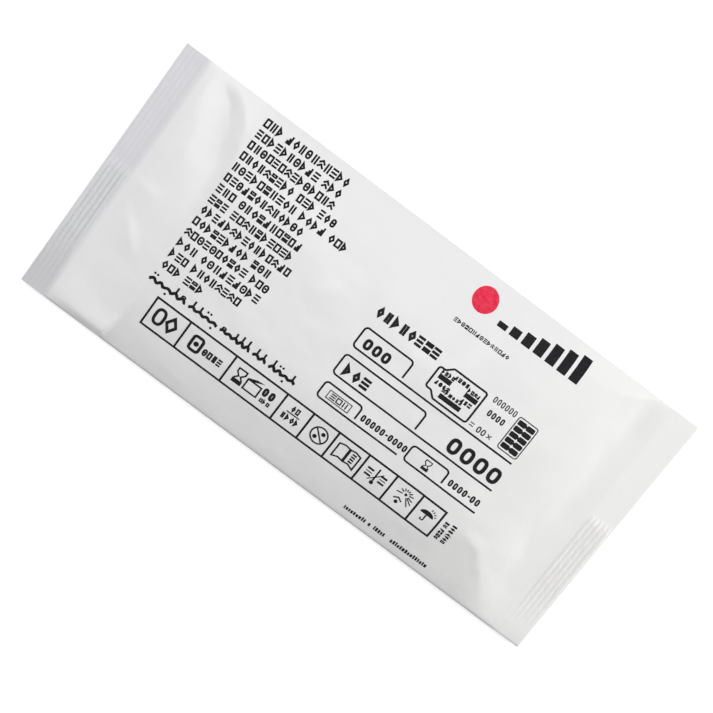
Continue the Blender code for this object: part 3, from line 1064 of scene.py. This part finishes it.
class Graph:
    """The shader nodes of a material or of the surround."""

    def __init__(self, owner):
        owner.use_nodes = True
        self.nodes = owner.node_tree.nodes
        self.links = owner.node_tree.links

    def feed(self, node, inputs):
        """Sets each named input of the node, or links it where it is given another's output."""
        sockets = {socket.identifier: socket for socket in node.inputs}
        for name, source in inputs.items():
            if isinstance(source, bpy.types.NodeSocket):
                self.links.new(source, sockets[name])
            else:
                sockets[name].default_value = source

    def made(self, kind, inputs, output, **settings):
        """The output of a new node with the inputs and the settings."""
        node = self.nodes.new(kind)
        for name, value in settings.items():
            setattr(node, name, value)
        self.feed(node, inputs)
        return next(socket for socket in node.outputs if socket.identifier == output)

    def place(self):
        """The place on the piece, in metres."""
        return self.made("ShaderNodeTexCoord", {}, "Object")

    def noise(self, scale, detail):
        """A noise over the piece, its scale per metre."""
        inputs = {"Vector": self.place(), "Scale": scale, "Detail": detail}
        return self.made("ShaderNodeTexNoise", inputs, "Fac")

    def ranged(self, value, low, high, start=0.0, end=1.0):
        """The value moved from the range start to end into the range low to high."""
        inputs = {"Value": value, "From Min": start, "From Max": end, "To Min": low, "To Max": high}
        return self.made("ShaderNodeMapRange", inputs, "Result")

    def mixed(self, part, first, second):
        """A colour between the first and the second."""
        inputs = {"Factor_Float": part, "A_Color": first, "B_Color": second}
        return self.made("ShaderNodeMix", inputs, "Result_Color", data_type="RGBA")

    def calculated(self, operation, first, second):
        """What the operation makes of two values."""
        inputs = {"Value": first, "Value_001": second}
        return self.made("ShaderNodeMath", inputs, "Value", operation=operation)

    def seen(self):
        """1 for what the camera sees, directly or in gloss or glass, 0 for what lights the scene."""
        path = self.nodes.new("ShaderNodeLightPath").outputs
        seen = self.calculated("MAXIMUM", path["Is Camera Ray"], path["Is Glossy Ray"])
        return self.calculated("MAXIMUM", seen, path["Is Transmission Ray"])


def film_material():
    """White laminated film: satin, faintly crinkled, and cooler in colour at one end, with painted light
    and painted shade laid into its colour.
    """
    material = bpy.data.materials.new("white_film")
    graph = Graph(material)
    axes = graph.nodes.new("ShaderNodeSeparateXYZ")
    graph.feed(axes, {"Vector": graph.place()})

    def tinted(color, tints):
        """The colour with each tint laid on in turn, painted light and painted shade among them."""
        for axis, start, end, at_start, at_end, tint in tints:
            part = graph.ranged(axes.outputs[axis], at_start, at_end, start, end)
            color = graph.mixed(part, color, tint)
        return color

    # the left seal's cool tone with its painted shade and painted light, over the rest of the film with
    # its own
    at_seal = graph.ranged(axes.outputs["X"], 1.0, 0.0, *SEAL_TURNS)
    color = graph.mixed(at_seal, tinted(FILM_COLOR, FILM_TINTS), tinted(FILM_COOL_AND_PAINTED_SHADE, SEAL_TINTS))
    roughness = graph.ranged(graph.noise(*GLOSS_NOISE), *FILM_ROUGHNESS, *GLOSS_SPREAD)
    bumps = {}
    for shape, height, strength in FILM_BUMPS:
        inputs = {"Height": graph.noise(*shape), "Distance": height, "Strength": strength}
        bumps = {"Normal": graph.made("ShaderNodeBump", {**inputs, **bumps}, "Normal")}
    surface = graph.nodes["Principled BSDF"]
    graph.feed(surface, {"Base Color": color, "Roughness": roughness, **bumps})
    return material


def ink_material(name, color, thin_color):
    """Printed ink, a little patchy where it lies thinner."""
    material = bpy.data.materials.new(name)
    graph = Graph(material)
    thin = graph.ranged(graph.noise(*INK_NOISE), 0.0, 1.0, *INK_SPREAD)
    inputs = {
        "Base Color": graph.mixed(thin, color, thin_color),
        "Roughness": INK_ROUGHNESS,
        "Specular IOR Level": INK_SHEEN,
    }
    graph.feed(graph.nodes["Principled BSDF"], inputs)
    return material


def make_camera():
    """The camera. Its roll turns the pouch in the picture as the photo shows it."""
    place, target = Vector(CAMERA_PLACE), Vector(CAMERA_TARGET)
    up = Vector((math.sin(CAMERA_ROLL), math.cos(CAMERA_ROLL), 0))
    forward = (target - place).normalized()
    right = forward.cross(up).normalized()
    top = right.cross(forward)
    data = bpy.data.cameras.new("camera")
    data.lens = CAMERA_LENS
    data.sensor_width = SENSOR_WIDTH
    data.clip_start = CAMERA_NEAR
    camera = bpy.data.objects.new("camera", data)
    turn = Matrix((right, top, -forward)).transposed().to_4x4()
    camera.matrix_world = Matrix.Translation(place) @ turn
    bpy.context.scene.collection.objects.link(camera)
    bpy.context.scene.camera = camera


def area_lamp(name, place, size, power):
    """A square soft lamp that faces the pouch."""
    data = bpy.data.lights.new(name, "AREA")
    data.size = size
    data.energy = power
    lamp = bpy.data.objects.new(name, data)
    lamp.location = place
    lamp.rotation_euler = (-Vector(place)).to_track_quat("-Z", "Y").to_euler()
    lamp.visible_camera = False
    bpy.context.scene.collection.objects.link(lamp)


def make_floor():
    """A white floor that keeps the pouch's shadow and fades into the surround far from it."""
    shape = bmesh.new()
    bmesh.ops.create_grid(shape, x_segments=1, y_segments=1, size=FLOOR_HALF)
    mesh = bpy.data.meshes.new("floor")
    shape.to_mesh(mesh)
    shape.free()
    floor = bpy.data.objects.new("floor", mesh)
    bpy.context.scene.collection.objects.link(floor)
    material = bpy.data.materials.new("floor_white")
    graph = Graph(material)
    away = graph.made("ShaderNodeVectorMath", {"Vector": graph.place()}, "Value", operation="LENGTH")
    lift = graph.ranged(away, FLOOR_LIFT, FLOOR_FULL, FLOOR_NEAR, FLOOR_FAR)
    inputs = {
        "Base Color": FLOOR_COLOR,
        "Roughness": FLOOR_ROUGHNESS,
        "Specular IOR Level": 0.0,
        "Emission Color": WHITE,
        "Emission Strength": graph.calculated("MULTIPLY", graph.seen(), lift),
    }
    graph.feed(graph.nodes["Principled BSDF"], inputs)
    mesh.materials.append(material)


def make_surround():
    """A white surround that lights the pouch softly from all sides."""
    world = bpy.data.worlds.new("surround")
    bpy.context.scene.world = world
    graph = Graph(world)
    strength = graph.ranged(graph.seen(), AMBIENT, 1.0)
    graph.feed(graph.nodes["Background"], {"Color": WHITE, "Strength": strength})


def make_studio():
    """The floor, the surround and soft lamps."""
    make_floor()
    make_surround()
    for name, (place, size, power) in LAMPS.items():
        area_lamp(name, place, size, power)
    bpy.context.scene.view_settings.view_transform = "Standard"


make_camera()
film = Film()
pouch = film.piece(film_material())
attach(pouch, "root")
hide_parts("pouch")

black = ink_material("black_ink", INK_COLOR, INK_THIN)
red = ink_material("red_ink", RED_COLOR, RED_THIN)

# Each part of the print: its name, what draws it, the seed of its random draws, its ink and slot
for name, draw, seed, material, slot in (
    ("print_text_rows", text_rows, 11, black, "ink"),
    ("print_flowing_line", flowing_line, 5, black, "ink"),
    ("print_symbol_strip", symbols, 7, black, "ink"),
    ("print_turned_lines", turned_lines, 2, black, "ink"),
    ("print_tab_frames", tab_frames, 0, black, "ink"),
    ("print_tab_contents", tab_contents, 19, black, "ink"),
    ("print_pictograms", pictograms, 23, black, "ink"),
    ("print_motif_dark", motif_dark, 29, black, "ink"),
    ("print_motif_red", motif_red, 0, red, "red_ink"),
    ("print_edge_line", edge_line, 31, black, "ink"),
):
    ink = Print(seed)
    draw(ink)
    ink.lay(film, name, material)
make_studio()
